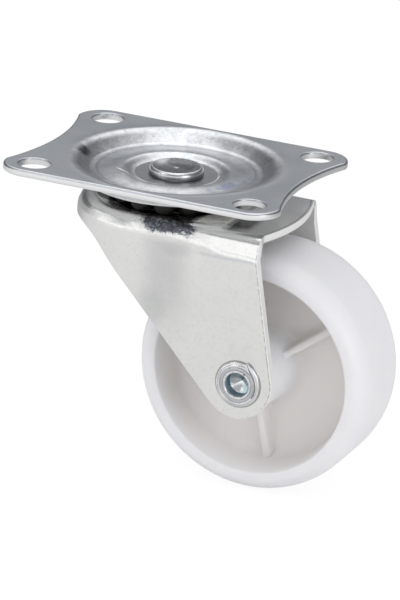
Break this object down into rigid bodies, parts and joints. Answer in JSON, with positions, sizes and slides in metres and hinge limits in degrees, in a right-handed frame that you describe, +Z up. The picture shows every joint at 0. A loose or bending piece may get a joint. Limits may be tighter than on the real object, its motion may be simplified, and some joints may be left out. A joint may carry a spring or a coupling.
{
  "type": "swivel castor",
  "caption": "Swivel castor: a small plastic wheel on a riveted axle in a pressed steel fork, turning on ball races under a dished four-hole top plate.",
  "frame": {"origin": "centre of the flat top face of the top plate, at the middle of the four fixing holes", "axes": "+Z up, out of the top plate's mounting face; +X along the plate's long side towards the trailing wheel; +Y along the wheel's axle, away from the clinched end"},
  "size_m": [0.0776, 0.046, 0.0637],
  "materials": {
    "top_plate": "bright zinc plating, slightly blue, on a smooth pressing",
    "kingpin": "zinc-plated rivet head, formed and slightly scuffed",
    "lower_cup": "zinc-plated pressing",
    "fork": "zinc-plated pressing, satin, with scuffs on the shoulder",
    "axle": "zinc-plated semi-tubular rivet",
    "wheel": "natural white polyamide, satin moulding",
    "balls": "polished steel balls in grease"
  },
  "bodies": {
    "plate": {"top_plate": "top_plate", "kingpin": "kingpin", "lower_cup": "lower_cup"},
    "fork": {"fork": "fork", "axle": "axle"},
    "wheel": {"wheel": "wheel"},
    "upper_balls": {"upper_ball_1": "balls", "upper_ball_2": "balls", "upper_ball_3": "balls", "upper_ball_4": "balls", "upper_ball_5": "balls", "upper_ball_6": "balls", "upper_ball_7": "balls", "upper_ball_8": "balls", "upper_ball_9": "balls", "upper_ball_10": "balls", "upper_ball_11": "balls", "upper_ball_12": "balls", "upper_ball_13": "balls", "upper_ball_14": "balls"},
    "lower_balls": {"lower_ball_1": "balls", "lower_ball_2": "balls", "lower_ball_3": "balls", "lower_ball_4": "balls", "lower_ball_5": "balls", "lower_ball_6": "balls", "lower_ball_7": "balls", "lower_ball_8": "balls", "lower_ball_9": "balls", "lower_ball_10": "balls", "lower_ball_11": "balls", "lower_ball_12": "balls"}
  },
  "joints": [
    {"name": "swivel", "type": "hinge", "parent": "plate", "child": "fork", "pos_m": [0, 0, -0.0085], "axis": [0, 0, 1], "continuous": true},
    {"name": "wheel_spin", "type": "hinge", "parent": "fork", "child": "wheel", "pos_m": [0.0226, 0, -0.0387], "axis": [0, 1, 0], "continuous": true},
    {"name": "upper_ball_orbit", "type": "hinge", "parent": "plate", "child": "upper_balls", "pos_m": [0, 0, -0.00578], "axis": [0, 0, 1], "continuous": true},
    {"name": "lower_ball_orbit", "type": "hinge", "parent": "plate", "child": "lower_balls", "pos_m": [0, 0, -0.01078], "axis": [0, 0, 1], "continuous": true}
  ],
  "couplings": [
    {"joint": "upper_ball_orbit", "follows": "swivel", "ratio": 0.5},
    {"joint": "lower_ball_orbit", "follows": "swivel", "ratio": 0.5}
  ]
}
